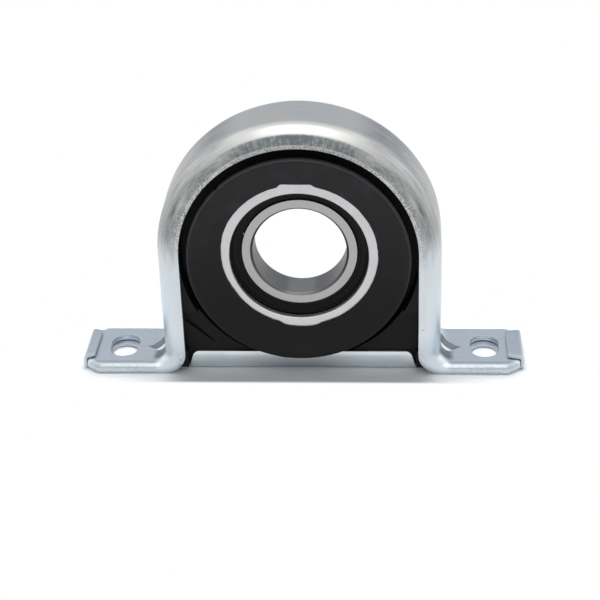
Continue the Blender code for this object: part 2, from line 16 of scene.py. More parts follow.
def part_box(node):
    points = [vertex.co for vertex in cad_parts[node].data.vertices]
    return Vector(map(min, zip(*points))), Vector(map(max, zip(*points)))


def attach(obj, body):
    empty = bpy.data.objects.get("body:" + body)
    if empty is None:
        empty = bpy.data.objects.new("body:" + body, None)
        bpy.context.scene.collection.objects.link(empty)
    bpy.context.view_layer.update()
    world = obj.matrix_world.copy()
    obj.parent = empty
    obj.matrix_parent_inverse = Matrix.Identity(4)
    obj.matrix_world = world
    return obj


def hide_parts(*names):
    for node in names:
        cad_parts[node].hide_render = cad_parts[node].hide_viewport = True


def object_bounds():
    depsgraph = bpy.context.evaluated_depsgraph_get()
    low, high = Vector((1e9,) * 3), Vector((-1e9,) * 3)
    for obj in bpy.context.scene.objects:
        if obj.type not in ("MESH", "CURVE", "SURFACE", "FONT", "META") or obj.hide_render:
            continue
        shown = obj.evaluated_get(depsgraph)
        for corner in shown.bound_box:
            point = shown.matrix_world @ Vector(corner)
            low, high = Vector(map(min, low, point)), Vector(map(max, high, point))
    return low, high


bl_info = {
    "name": "Driveshaft centre bearing",
    "version": (1, 0, 0),
    "blender": (4, 5, 0),
    "location": "View3D > Sidebar > Centre bearing",
    "description": "Builds a driveshaft centre bearing with its bracket, base plate and rubber cushion",
    "category": "Object",
}

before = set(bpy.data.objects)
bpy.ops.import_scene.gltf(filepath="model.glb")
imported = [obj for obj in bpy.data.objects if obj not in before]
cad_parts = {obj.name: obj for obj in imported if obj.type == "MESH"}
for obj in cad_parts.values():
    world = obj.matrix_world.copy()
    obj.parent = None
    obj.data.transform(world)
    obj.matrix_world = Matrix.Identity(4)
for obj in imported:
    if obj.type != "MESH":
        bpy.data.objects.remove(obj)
CAD_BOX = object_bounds()

MM = 0.001
QUARTER = math.radians(90.0)
HAIR = 0.01 * MM
CLEARANCE = 0.3 * MM
WAVE_SEED = 1
WHITE = (1.0, 1.0, 1.0, 1.0)
ABOUT_X = (1.0, 0.0, 0.0)
ABOUT_Y = (0.0, 1.0, 0.0)
UPRIGHT = (0.0, 0.0, 0.0)
SIDEWAYS = (QUARTER, 0.0, 0.0)


# Sizes and colours


def length(description, millimetres):
    return FloatProperty(description=description, default=millimetres * MM, min=0.0, precision=5,
                         subtype="DISTANCE", unit="LENGTH")


def colour(description, default):
    return FloatVectorProperty(description=description, default=default, min=0.0, max=1.0, size=3,
                               subtype="COLOR")


class BracketSizes(PropertyGroup):
    arch_radius: length("From the arch's centre to its outer face", 60.0)
    arch_height: length("From the base to the arch's centre", 56.0)
    width: length("Width of the strip along the shaft", 2.0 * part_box("hanger_bracket")[1].y / MM)
    sheet: length("Thickness of the strip", 2.4)
    roll_radius: length("Outer radius of the arch's rolled edge", 8.0)
    roll_depth: length("How far the rolled edge reaches inwards", 9.6)
    foot_top: length("Height of the foot's upper face", 4.0)
    lip_radius: length("Outer radius of the foot's turned-down lip", 3.0)
    bend_radius: length("Inner radius of the bend between leg and foot", 5.0)
    foot_end: length("From the middle to the strip's end", 94.4)
    chamfer_length: length("Length of the foot's cut corner", 5.0)
    chamfer_width: length("Width of the foot's cut corner", 4.0)
    gusset_reach: length("How far the gusset reaches along the leg and the foot", 8.0)
    gusset_half: length("Half of the gusset's width at the bend", 6.5)
    bolt_reach: length("From the middle to each bolt slot", 79.4)
    slot_width: length("Width of a bolt slot", 12.6)
    slot_length: length("Length of a bolt slot along the shaft", 18.0)
    waviness: length("Height of the pressing's shallow waves", 0.10)
    wave_length: length("Distance over which the waves change", 14.0)
    wave_start: length("Height at which the waves have their full size", 6.0)


class PlateSizes(PropertyGroup):
    half_width: length("Half of the plate's width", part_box("base_plate")[1].y / MM)
    half_length: length("From the middle to the folded end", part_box("base_plate")[1].x / MM)
    sheet: length("Thickness of the plate", 1.3)
    bend_radius: length("Outer radius of the plate's bends", 1.6)
    edge_height: length("Height of the upturned edges", 8.6)
    edge_reach: length("Half of the upturned edges' length at the floor", 49.2)
    edge_slope: length("How much shorter the upturned edges are at their top", 2.2)
    tab_top: length("Height of the folded tab's upper face", 5.6)
    tab_reach: length("How far the tab lies over the foot", 4.7)
    wide_tab: length("How much further the right-hand tab lies over its foot", 2.2)
    tab_lift: length("How far the loose edge of a tab springs up", 0.30)
    end_taper: length("How far each side of the end draws in as it rises", 0.9)
    corner_cut: length("How far the tab's corners are cut off along its loose edge", 2.2)
    hole: length("Diameter of the bolt hole", 11.0)


class CushionSizes(PropertyGroup):
    disc_radius: length("Radius of the dished discs", 47.3)
    disc_front: length("How far the discs' lips stand forward", 17.0)
    body_half: length("Half of the body's depth along the shaft", 14.3)
    web_half: length("Half of the web's depth between the pockets", 4.5)
    pocket_radius: length("Radius of the round pockets", 50.8)
    step_height: length("Height of the stepped corners", 29.0)
    crease: length("Width of the moulded crease across the corner", 0.9)
    foot_flare: length("How far the body's feet spread under the bracket's bend", 2.6)
    flash_reach: length("How far the moulding flash reaches over the cup's face", 2.35)
    flash: length("How far the flash's edge strays in and out", 0.20)
    open_patch: length("How far the flash stands back at the cup's top, and in lower down", 0.9)


class BearingSizes(PropertyGroup):
    height: length("From the base to the bearing's axis", 54.5)
    bore: length("Radius of the inner ring's bore", 20.0)
    shoulder: length("Outer radius of the inner ring's face", 24.6)
    half_width: length("Half of the bearing's width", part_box("inner_ring")[1].y / MM)
    cup_radius: length("Outer radius of the cup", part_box("bearing_cup")[1].x / MM)
    cup_half: length("Half of the cup's length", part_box("bearing_cup")[1].y / MM)
    cup_lip: length("Inner radius of the cup's turned-in lip", 29.4)
    cup_wall: length("Thickness of the cup's wall", 1.7)
    cup_lip_depth: length("Thickness of the cup's turned-in lip along the shaft", 2.8)
    steps: IntProperty(description="Segments round a turned piece", default=128, min=24)


class Finishes(PropertyGroup):
    zinc: colour("Plain zinc plating", (0.59, 0.65, 0.70))
    # Also painted on the bracket's legs as painted light.
    plate: colour("Brighter zinc of the base plate, seen on the legs too", (0.74, 0.80, 0.84))
    zinc_warm: colour("Zinc where the plating is thin", (0.57, 0.56, 0.54))
    # Also the colour of the painted shade and dark reflections on the bracket and the plate.
    zinc_dark_and_painted_shade: colour("Zinc darkened by the press tool", (0.15, 0.17, 0.18))
    rubber: colour("Moulded rubber", (0.007, 0.007, 0.008))
    # Also the colour of the painted light that lightens the rubber higher up, and of the lips' painted
    # highlight.
    rubber_dust_and_light: colour("Dust and bloom on the rubber", (0.07, 0.07, 0.075))
    cup: colour("Bright plated cup", (0.61, 0.61, 0.63))
    ring: colour("Ground bearing steel", (0.43, 0.43, 0.42))
    bore: colour("Honed steel inside the bore", (0.16, 0.16, 0.16))
    seal: colour("Seal rubber", (0.006, 0.006, 0.007))
    cage: colour("Pressed cage steel", (0.40, 0.38, 0.34))
    ball: colour("Polished ball steel", (0.62, 0.62, 0.62))
    floor: colour("Studio floor, as it lights the object", (0.80, 0.80, 0.80))
    floor_seen: colour("Studio floor, as the camera sees it in shadow", (0.86, 0.87, 0.88))


# Hand tools


def object_mode():
    if bpy.context.object is not None and bpy.context.object.mode != "OBJECT":
        bpy.ops.object.mode_set(mode="OBJECT")


def nothing_selected():
    object_mode()
    bpy.ops.object.select_all(action="DESELECT")


def activate(piece):
    nothing_selected()
    piece.select_set(True)
    bpy.context.view_layer.objects.active = piece


def edit(piece):
    activate(piece)
    bpy.ops.object.mode_set(mode="EDIT")
    bpy.ops.mesh.select_mode(type="VERT")
    bpy.ops.mesh.select_all(action="DESELECT")


def pick(piece, test):
    """Selects the vertices that pass a test, and what lies between them."""
    bpy.ops.mesh.select_all(action="DESELECT")
    mesh = bmesh.from_edit_mesh(piece.data)
    for vertex in mesh.verts:
        if test(vertex.co):
            vertex.select_set(True)
    mesh.select_flush(True)
    bmesh.update_edit_mesh(piece.data)


def near(a, b):
    return abs(a - b) < 2.0 * HAIR


def extrude(x=0.0, y=0.0, z=0.0, times=1):
    step = (x / times, y / times, z / times)
    for _ in range(times):
        bpy.ops.mesh.extrude_region_move(TRANSFORM_OT_translate={"value": step})


def bend(centre, axis, angle, steps):
    """Spins what is selected by the right-hand rule, which is the operator's negative angle."""
    bpy.ops.mesh.spin(steps=steps, angle=-angle, center=centre, axis=axis)


def start_point(name, point):
    """A new piece that is one selected point, ready to be drawn out."""
    nothing_selected()
    bpy.ops.mesh.primitive_plane_add(size=MM)
    piece = bpy.context.object
    piece.name = name
    piece.data.name = name
    edit(piece)
    bpy.ops.mesh.select_all(action="SELECT")
    bpy.ops.mesh.merge(type="CENTER")
    bpy.ops.transform.translate(value=point)
    return piece


def tidy_mesh():
    bpy.ops.mesh.select_all(action="SELECT")
    bpy.ops.mesh.remove_doubles(threshold=0.5 * HAIR)
    bpy.ops.mesh.normals_make_consistent(inside=False)
    bpy.ops.mesh.select_all(action="DESELECT")


def modify(piece, kind, **settings):
    """Adds a modifier with the given settings and applies it."""
    modifier = piece.modifiers.new(kind.lower(), kind)
    for name, value in settings.items():
        setattr(modifier, name, value)
    activate(piece)
    bpy.ops.object.modifier_apply(modifier=modifier.name)


def mirror(piece, across):
    object_mode()
    modify(piece, "MIRROR", use_axis=across, merge_threshold=2.0 * HAIR)


def thicken(piece, thickness, even=True):
    """Gives an open sheet its thickness, on the inner side of its faces."""
    modify(piece, "SOLIDIFY", thickness=thickness, offset=-1.0, use_even_offset=even)


def soften(piece, width, segments=2, angle=40.0):
    modify(piece, "BEVEL", width=width, segments=segments, limit_method="ANGLE",
           angle_limit=math.radians(angle))


def cut(piece, other):
    """Cuts the other piece out of this one and takes it away."""
    modify(piece, "BOOLEAN", operation="DIFFERENCE", solver="EXACT", object=other)
    bpy.data.objects.remove(other, do_unlink=True)


def settle(name):
    """Names the new object and puts its place, turn and scale into its mesh."""
    bpy.ops.object.transform_apply(location=True, rotation=True, scale=True)
    bpy.context.object.name = name
    return bpy.context.object


def block(name, low, high):
    """A box between two corners."""
    nothing_selected()
    bpy.ops.mesh.primitive_cube_add(size=1.0, location=(Vector(low) + Vector(high)) / 2.0)
    bpy.context.object.scale = Vector(high) - Vector(low)
    return settle(name)


def pin(name, centre, radius, depth, turn=UPRIGHT, vertices=64):
    """A round bar that lies along Z before its turn."""
    nothing_selected()
    bpy.ops.mesh.primitive_cylinder_add(vertices=vertices, radius=radius, depth=depth, location=centre,
                                        rotation=turn)
    return settle(name)


def turned(name, outline, bearing, finer=1.0):
    """Draws a closed outline of (radius, y, corner rounding) and spins it about the bearing's axis."""
    places = [Vector((radius, y, bearing.height)) for radius, y, _ in outline]
    piece = start_point(name, places[0])
    for a, b in zip(places, places[1:]):
        extrude(*(b - a))
    pick(piece, lambda co: any((co - end).length < HAIR for end in (places[0], places[-1])))
    bpy.ops.mesh.edge_face_add()
    for rounding in sorted({row[2] for row in outline if row[2] > 0.0}):
        corners = [place for place, row in zip(places, outline) if row[2] == rounding]
        pick(piece, lambda co: any((co - corner).length < HAIR for corner in corners))
        bpy.ops.mesh.bevel(offset=rounding, segments=5, affect="VERTICES")
    bpy.ops.mesh.select_all(action="SELECT")
    bend((0.0, 0.0, bearing.height), ABOUT_Y, 4.0 * QUARTER, round(bearing.steps * finer))
    tidy_mesh()
    object_mode()
    return piece


def reshape(piece, move):
    """Moves every vertex of a piece to where the given function puts it."""
    object_mode()
    for vertex in piece.data.vertices:
        vertex.co = move(vertex.co)
    piece.data.update()


def finish_piece(piece, material, body, node, angle=35.0):
    activate(piece)
    bpy.ops.object.shade_smooth_by_angle(angle=math.radians(angle))
    piece.data.materials.clear()
    piece.data.materials.append(material)
    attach(piece, body)
    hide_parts(node)


def repaint(node, material):
    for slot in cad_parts[node].material_slots:
        slot.material = material


# Shader tools


class Wire:
    """What a node gives out. Sums and products of wires add Math nodes."""

    def __init__(self, paint, socket):
        self.paint = paint
        self.socket = socket

    def math(self, operation, *values, clamp=False):
        return self.paint.add("ShaderNodeMath", {"operation": operation, "use_clamp": clamp}, list(values))

    def __add__(self, other):
        return self.math("ADD", self, other)

    def __sub__(self, other):
        return self.math("SUBTRACT", self, other)

    def __rsub__(self, other):
        return self.math("SUBTRACT", other, self)

    def __mul__(self, other):
        return self.math("MULTIPLY", self, other)

    __radd__ = __add__
    __rmul__ = __mul__

    def size(self):
        return self.math("ABSOLUTE", self)

    def at_least(self, other):
        return self.math("MAXIMUM", self, other)

    def root(self):
        return self.math("SQRT", self)

    def clamped(self):
        return self.math("ADD", self, 0.0, clamp=True)

    def ramp(self, start, end):
        """A rise between two numbers of millimetres."""
        return self.rise(start * MM, end * MM)

    def rise(self, start, end):
        """0 below start and 1 above end, with an eased change between them."""
        return self.paint.add("ShaderNodeMapRange", {"interpolation_type": "SMOOTHSTEP"},
                              {"Value": self, "From Min": start, "From Max": end})


class Nodes:
    """The nodes of a material or of the world."""

    def __init__(self, owner, output):
        owner.use_nodes = True
        self.nodes = owner.node_tree.nodes
        self.links = owner.node_tree.links
        self.output = self.nodes[output].inputs["Surface"]

    def add(self, kind, settings=None, inputs=None, output=0):
        """Adds a node, sets its settings and then its inputs, and returns one of its outputs."""
        node = self.nodes.new(kind)
        for name, value in (settings or {}).items():
            setattr(node, name, value)
        pairs = inputs.items() if isinstance(inputs, dict) else enumerate(inputs or [])
        for key, value in pairs:
            self.feed(node.inputs[key], value)
        return Wire(self, node.outputs[output])

    def feed(self, socket, value):
        if isinstance(value, Wire):
            self.links.new(value.socket, socket)
        else:
            socket.default_value = value

    def place(self):
        return self.add("ShaderNodeTexCoord", output="Object")

    def split(self, vector):
        node = self.add("ShaderNodeSeparateXYZ", inputs=[vector]).socket.node
        return [Wire(self, socket) for socket in node.outputs]

    def join(self, x, y, z):
        return self.add("ShaderNodeCombineXYZ", inputs=[x, y, z])

    def noise(self, vector, size, detail, roughness, distortion=0.0):
        """Noise between 0 and 1 whose features are about the given number of millimetres across."""
        return self.add("ShaderNodeTexNoise", {"normalize": True},
                        {"Vector": vector, "Scale": 1.0 / (size * MM), "Detail": detail,
                         "Roughness": roughness, "Distortion": distortion})

    def cells(self, vector, size):
        """Distance to the nearest of a scatter of points, about the given number of millimetres apart."""
        return self.add("ShaderNodeTexVoronoi", {"feature": "F1"},
                        {"Vector": vector, "Scale": 1.0 / (size * MM)})

    def mix(self, amount, a, b):
        """Goes from colour a to colour b."""
        first = a if isinstance(a, Wire) else (*a, 1.0)
        second = b if isinstance(b, Wire) else (*b, 1.0)
        return self.add("ShaderNodeMix", {"data_type": "RGBA"}, {0: amount, 6: first, 7: second}, output=2)

    def seen(self):
        """1 for rays that show something, directly, in metal or through glass, and 0 for falling light."""
        rays = self.add("ShaderNodeLightPath").socket.node.outputs
        seen = Wire(self, rays["Is Camera Ray"])
        for name in ("Is Glossy Ray", "Is Transmission Ray"):
            seen = seen.at_least(Wire(self, rays[name]))
        return seen

    def end(self, shader):
        self.links.new(shader.socket, self.output)


class Paint(Nodes):
    """A material with one Principled shader."""

    def __init__(self, name, metallic=0.0, gloss=0.5):
        self.material = bpy.data.materials.new(name)
        super().__init__(self.material, "Material Output")
        self.shader = self.nodes["Principled BSDF"]
        self.shader.inputs["Metallic"].default_value = metallic
        self.shader.inputs["Specular IOR Level"].default_value = gloss

    def surface(self, base, roughness, height=None, depth=None):
        """Feeds colour and roughness, and a bump where a height and its depth in millimetres are given."""
        self.feed(self.shader.inputs["Base Color"], base)
        self.feed(self.shader.inputs["Roughness"], roughness)
        if height is not None:
            bump = {"Strength": 1.0, "Distance": depth * MM, "Height": height}
            self.feed(self.shader.inputs["Normal"], self.add("ShaderNodeBump", inputs=bump))
        return self.material


# Materials


def path_along_strip(x, z, bracket):
    """How far along the strip a point lies, from the crown to the foot's end."""
    rise = (z - bracket.arch_height).at_least(0.0)
    turn = x.math("ARCTAN2", x.size(), rise)
    arch = turn * bracket.arch_radius
    leg = (bracket.arch_height - z).at_least(0.0)
    foot = (x.size() - bracket.arch_radius).at_least(0.0)
    return arch + leg + foot


def bracket_zinc(finish, bracket):
    """Zinc with flow lines along the strip, draw marks over a painted dark reflection on the crown's rolled
    edge, painted shade on the crown's rim, the shoulders and the gussets, lighter zinc painted on the legs as
    their bright reflection, and a gritty rim.
    """
    paint = Paint("bracket_zinc", metallic=1.0)
    place = paint.place()
    x, y, z = paint.split(place)
    along = path_along_strip(x, z, bracket)
    above = (z - bracket.arch_height).at_least(0.0)
    depth = bracket.arch_radius - (x * x + above * above).root()
    arch = z.ramp(30.0, 75.0)
    crown = arch * (1.0 - x.size().ramp(21.0, 35.0))
    clouds = paint.noise(place, 15.0, 5.0, 0.6)
    flow = paint.noise(paint.join(along * 0.09, y, 0.0), 2.4, 5.0, 0.65)
    mottle = paint.noise(place, 1.8, 5.0, 0.65)
    draw = paint.noise(paint.join(along, y * 0.10, 0.0), 0.7, 6.0, 0.75, 0.3)
    lanes = paint.noise(paint.join(along * 0.05, depth + y.size(), 0.0), 1.3, 5.0, 0.7)
    grit = paint.noise(place, 0.9, 4.0, 0.8)
    roll = depth.ramp(3.1, 4.1) * (1.0 - depth.ramp(7.6, 8.2))
    rim = depth.ramp(7.8, 8.4)
    inner = depth.ramp(5.4, 7.2) * (1.0 - crown)
    # Draw marks and mottle, over a painted dark reflection that fills the crown's rolled edge.
    draw_marks_and_painted_reflection = crown * (0.42 + draw.rise(0.30, 0.66) * 0.35 + mottle.rise(0.35, 0.65) * 0.30)
    draw_marks_and_painted_reflection = draw_marks_and_painted_reflection + arch * flow.rise(0.35, 0.7) * 0.35
    worn = 0.12 + 0.88 * z.ramp(48.0, 74.0) + 0.5 * (1.0 - z.ramp(6.0, 13.0))
    lip = (x.size() - bracket.arch_radius).ramp(2.0, 5.0) * y.size().ramp(14.6, 15.6)
    worn = worn * rim.at_least(inner) + lip * 0.25
    gritty = worn * grit.rise(0.47, 0.56) * clouds.rise(0.25, 0.55)
    pits = 1.0 - paint.cells(place, 9.0).rise(0.02, 0.05)
    warm = (z.ramp(45.0, 75.0) * 0.85 + clouds.rise(0.45, 0.75) * 0.25).clamped()
    # Painted dark reflection on the arch's shoulders, streaked along the flow lines.
    shoulder = z.ramp(55.0, 72.0) * x.size().ramp(22.0, 36.0) * (1.0 - rim)
    streaks = flow.rise(0.30, 0.7) * 0.35 + lanes.rise(0.35, 0.65) * 0.40
    # Painted shade and dark reflections on the crown's rolled edge and rim, the shoulders and the gussets;
    # the flow lines add real darkening.
    shade = roll * draw_marks_and_painted_reflection + rim * crown * 0.30 + shoulder * (0.16 + streaks * 0.8)
    shade = shade + flow.rise(0.50, 0.8) * 0.20 + gusset_shade(x, y, z, bracket)
    # Painted light: the legs take some of the plate's brighter zinc to stand in for their bright reflection.
    legs = z.ramp(10.0, 22.0) * (1.0 - z.ramp(50.0, 68.0))
    base = paint.mix(warm, finish.zinc, finish.zinc_warm)
    base = paint.mix(legs * 0.5, base, finish.plate)
    base = paint.mix(shade.clamped(), base, finish.zinc_dark_and_painted_shade)
    base = paint.mix((gritty * 0.85 + pits * 0.6).clamped(), base, finish.zinc_dark_and_painted_shade)
    roughness = 0.20 + clouds * 0.14 + mottle * 0.07 + flow * 0.08 + rim * 0.10
    height = mottle * 0.30 + flow * 0.55 + draw * crown * roll * 0.9 + grit * (0.05 + worn) - pits
    return paint.surface(base, roughness, height, 0.05)


def gusset_shade(x, y, z, bracket):
    """Painted shade: dark reflections on the face of each pressed gusset and the fillet in front of it, and
    painted shade on the foot's rolled edge.
    """
    reach = bracket.gusset_reach
    front = 0.0 - y
    out = x.size() - bracket.arch_radius
    run = out + (z - bracket.foot_top)
    slant = run + y.size() * (reach / bracket.gusset_half)
    pressed = 1.0 - slant.rise(reach + 1.0 * MM, reach + 2.5 * MM)
    # Painted dark reflection on the gusset's front face and in the fillet before it.
    face = front.ramp(0.1, 0.5) * (1.0 - front.ramp(3.0, 3.5)) * 0.97
    fillet = front.ramp(4.2, 5.0) * (1.0 - front.ramp(10.0, 13.0))
    fillet = fillet * (1.0 - run.ramp(3.5, 6.5)) * out.ramp(-3.6, -0.8) * 0.85
    low = 1.0 - z.rise(2.0 * reach, 2.5 * reach)
    # Painted shade on the foot's rolled edge, toning down its highlight.
    edge = out.ramp(2.0, 5.0) * front.ramp(12.6, 13.6)
    edge = edge * z.rise(bracket.foot_top - 2.2 * MM, bracket.foot_top - 1.4 * MM) * 0.32
    return (pressed * face).at_least(fillet) * low + edge


def plate_zinc(finish):
    """Bright zinc with a faint grain, painted shade that makes it darker in the middle, and a little duller
    on the tabs.
    """
    paint = Paint("plate_zinc", metallic=1.0)
    place = paint.place()
    clouds = paint.noise(place, 9.0, 4.0, 0.55)
    mottle = paint.noise(place, 1.4, 5.0, 0.65)
    x, y, z = paint.split(place)
    grain = paint.noise(paint.join(x * 0.05, y, z), 0.4, 4.0, 0.6)
    # Painted shade: the plate grows darker towards its middle.
    middle = 1.0 - (x.size() + clouds * (12.0 * MM)).ramp(10.0, 38.0)
    tab = x.size().ramp(60.0, 75.0)
    base = paint.mix((clouds.rise(0.3, 0.7) * 0.3 + tab).clamped(), finish.plate, finish.zinc)
    shade = grain.rise(0.55, 0.75) * 0.16 + middle * 0.45 + tab * (0.08 + mottle * 0.2)
    base = paint.mix(shade, base, finish.zinc_dark_and_painted_shade)
    roughness = 0.28 + clouds * 0.14 + mottle * 0.08
    return paint.surface(base, roughness, mottle * 0.6 + grain * 0.4, 0.03)


def cushion_rubber(finish, cushion, bearing):
    """Matt moulded rubber with a dusty bloom, a few specks and dusty lips that also stand in for the lips'
    painted highlight, all made lighter higher up as painted light from above.
    """
    paint = Paint("cushion_rubber", gloss=0.16)
    place = paint.place()
    radius, y, turn = ring_coordinates(paint, bearing.height)
    clouds = paint.noise(place, 14.0, 4.0, 0.6)
    grain = paint.noise(place, 0.45, 5.0, 0.7)
    scuffs = paint.noise(paint.join(radius, y, turn * (4.0 * MM)), 0.8, 5.0, 0.7)
    specks = 1.0 - paint.cells(place, 8.0).rise(0.012, 0.03)
    # The discs' lips: dust, and a painted highlight along their edge.
    lip = radius.rise(cushion.disc_radius - 1.2 * MM, cushion.disc_radius - 0.5 * MM)
    lip = lip * (1.0 - radius.rise(cushion.disc_radius + 0.2 * MM, cushion.disc_radius + 0.4 * MM))
    lip = lip * y.size().rise(cushion.disc_front - 2.5 * MM, cushion.disc_front - 1.5 * MM)
    dust_and_painted_light = clouds.rise(0.45, 0.8) * 0.20 + grain.rise(0.6, 0.8) * 0.10 + scuffs.rise(0.62, 0.8) * 0.25
    # Painted light from above: everything on the rubber grows lighter higher up.
    high = 0.20 + paint.split(place)[2].ramp(20.0, 90.0)
    dust_and_painted_light = ((dust_and_painted_light + specks * 0.5 + lip * (0.40 + grain * 0.7) + 0.22) * high).clamped()
    base = paint.mix(dust_and_painted_light, finish.rubber, finish.rubber_dust_and_light)
    roughness = 0.40 + clouds * 0.18 + grain * 0.10
    return paint.surface(base, roughness, grain * 0.6 + clouds * 0.6 + specks * 0.3, 0.05)


def ring_coordinates(paint, height):
    """Radius from the bearing's axis, place along the shaft, and angle."""
    x, y, z = paint.split(paint.place())
    up = z - height
    return (x * x + up * up).root(), y, x.math("ARCTAN2", x, up)


def cup_steel(finish):
    """Bright plating with a fine sanded grain and a few dark specks."""
    paint = Paint("cup_steel", metallic=1.0)
    place = paint.place()
    clouds = paint.noise(place, 6.0, 4.0, 0.6)
    sand = paint.noise(place, 0.5, 4.0, 0.7)
    specks = 1.0 - paint.cells(place, 6.0).rise(0.025, 0.06)
    base = paint.mix((clouds.rise(0.4, 0.75) * 0.25 + specks * 0.8).clamped(), finish.cup, finish.ring)
    roughness = 0.36 + sand * 0.16
    return paint.surface(base, roughness, sand - specks, 0.03)


def ground_steel(name, tint, bore, bearing):
    """Bearing steel with the fine rings that grinding leaves, and a darker bore with painted reflection
    streaks and a painted lighter reflection at its bottom.
    """
    paint = Paint(name, metallic=1.0)
    paint.shader.inputs["Specular Tint"].default_value = (0.7, 0.7, 0.7, 1.0)
    radius, y, turn = ring_coordinates(paint, bearing.height)
    lines = paint.noise(paint.join(radius, y, turn * (0.4 * MM)), 0.25, 4.0, 0.7)
    clouds = paint.noise(paint.place(), 5.0, 3.0, 0.5)
    inside = 1.0 - radius.rise(bearing.bore + 0.10 * MM, bearing.bore + 0.20 * MM)
    chamfer = 1.0 - inside - radius.rise(bearing.bore + 0.92 * MM, bearing.bore + 1.02 * MM)
    # Random streaks, painted as reflections along the bore and its chamfer.
    painted_reflection_streaks = paint.noise(paint.join(turn * (9.0 * MM), y * 0.2, 0.0), 3.0, 4.0, 0.6)
    # Painted reflection: a lighter patch at the bottom of the bore.
    painted_bore_reflection = turn.size().rise(2.75, 2.95)
    base = paint.mix(lines.rise(0.35, 0.75) * 0.4, tint, [part * 0.76 for part in tint])
    base = paint.mix((inside * (1.0 - painted_bore_reflection * 0.3 - painted_reflection_streaks * 0.25)).clamped(), base, bore)
    base = paint.mix((chamfer * (0.95 - painted_reflection_streaks * 0.3)).clamped(), base, [part * 0.35 for part in bore])
    roughness = 0.22 + lines * 0.14 + clouds * 0.08
    return paint.surface(base, roughness, lines, 0.012)


def seal_rubber(finish, bearing):
    paint = Paint("seal_rubber", gloss=0.16)
    radius, y, turn = ring_coordinates(paint, bearing.height)
    grain = paint.noise(paint.place(), 0.4, 4.0, 0.6)
    rings = paint.noise(paint.join(radius, y, turn * (0.5 * MM)), 0.5, 2.0, 0.5)
    base = paint.mix(grain.rise(0.55, 0.8) * 0.3, finish.seal, finish.rubber_dust_and_light)
    return paint.surface(base, 0.40 + grain * 0.15, grain * 0.5 + rings, 0.03)


def polished_steel(finish):
    paint = Paint("ball_steel", metallic=1.0)
    haze = paint.noise(paint.place(), 1.2, 4.0, 0.6)
    base = paint.mix(haze.rise(0.5, 0.8) * 0.4, finish.ball, finish.ring)
    return paint.surface(base, 0.08 + haze * 0.08, haze, 0.004)


def cage_steel(finish):
    paint = Paint("cage_steel", metallic=1.0)
    grain = paint.noise(paint.place(), 0.3, 4.0, 0.6)
    clouds = paint.noise(paint.place(), 4.0, 3.0, 0.5)
    base = paint.mix(clouds.rise(0.35, 0.7) * 0.6, finish.cage, finish.zinc_warm)
    return paint.surface(base, 0.34 + grain * 0.16, grain, 0.015)


# Hanger bracket


def strip_quarter(size):
    """A quarter of the strip's outer face: round the arch, down the leg and out along the foot."""
    top = size.arch_height + size.arch_radius
    flat = size.width / 2.0 - size.roll_radius
    bend_top = size.foot_top + size.bend_radius
    gusset_top = size.foot_top + 2.0 * size.gusset_reach
    bend_end = size.arch_radius + size.bend_radius
    gusset_end = size.arch_radius + 1.3 * size.gusset_reach
    corner = size.foot_end - size.chamfer_length
    piece = start_point("formed_bracket", (0.0, 0.0, top))
    extrude(y=flat, times=18)
    bend((0.0, flat, top - size.roll_radius), ABOUT_X, -QUARTER, steps=10)
    extrude(z=size.roll_radius - size.roll_depth, times=2)
    bpy.ops.mesh.select_all(action="SELECT")
    bend((0.0, 0.0, size.arch_height), ABOUT_Y, QUARTER, steps=44)
    extrude(z=gusset_top - size.arch_height, times=10)
    extrude(z=bend_top - gusset_top, times=16)
    bend((bend_end, 0.0, bend_top), ABOUT_Y, -QUARTER, steps=12)
    extrude(x=gusset_end - bend_end, times=8)
    extrude(x=corner - gusset_end, times=10)
    extrude(x=size.foot_end - corner, times=6)
    return piece


def leg_section(co, size):
    """A point's depth below the outer face of leg, bend or foot, which way that is, and how far it turned."""
    dx = min(co.x - size.arch_radius - size.bend_radius, 0.0)
    dz = min(co.z - size.foot_top - size.bend_radius, 0.0)
    away = Vector((dx, 0.0, dz))
    depth = away.length - size.bend_radius
    return depth, away.normalized(), math.atan2(-dz, -dx) / QUARTER


def edge_section(y, depth, turn, half, size):
    """The section's point where the rolled edge eases into the foot's lip."""
    ease = turn * turn * (3.0 - 2.0 * turn)
    radius = size.roll_radius + (size.lip_radius - size.roll_radius) * ease
    reach = size.roll_depth + (size.foot_top - size.roll_depth) * ease
    flat = size.width / 2.0 - size.roll_radius
    if y <= flat + HAIR:
        return y * (half - radius) / flat, depth
    if depth <= size.roll_radius + HAIR and y < size.width / 2.0 - HAIR:
        angle = math.asin(min((y - flat) / size.roll_radius, 1.0))
        return half - radius + radius * math.sin(angle), radius - radius * math.cos(angle)
    share_down = (depth - size.roll_radius) / (size.roll_depth - size.roll_radius)
    return half, radius + share_down * (reach - radius)


def gusset_height(co, size):
    """How far the pressed gusset stands off the bend, with its ridge and its ends eased."""
    run = (co.x - size.arch_radius) + (co.z - size.foot_top)
    ridge = math.hypot(co.y, MM) - MM
    rise = max(size.gusset_reach - run - ridge * size.gusset_reach / size.gusset_half, 0.0)
    return 0.8 * rise * rise / (rise + MM)


def shape_bracket(co, size):
    """Gives a point of the leg or foot its place in the changing section, and presses the gusset."""
    if co.z > size.arch_height - HAIR:
        return co
    depth, away, turn = leg_section(co, size)
    half = size.width / 2.0
    corner = size.foot_end - size.chamfer_length
    if co.x > corner:
        half -= size.chamfer_width * (co.x - corner) / size.chamfer_length
    y, new_depth = edge_section(co.y, depth, turn, half, size)
    co = co + away * (new_depth - depth)
    co.y = y
    if new_depth < HAIR:
        co = co - away * gusset_height(co, size) / (abs(away.x) + abs(away.z))
    return co


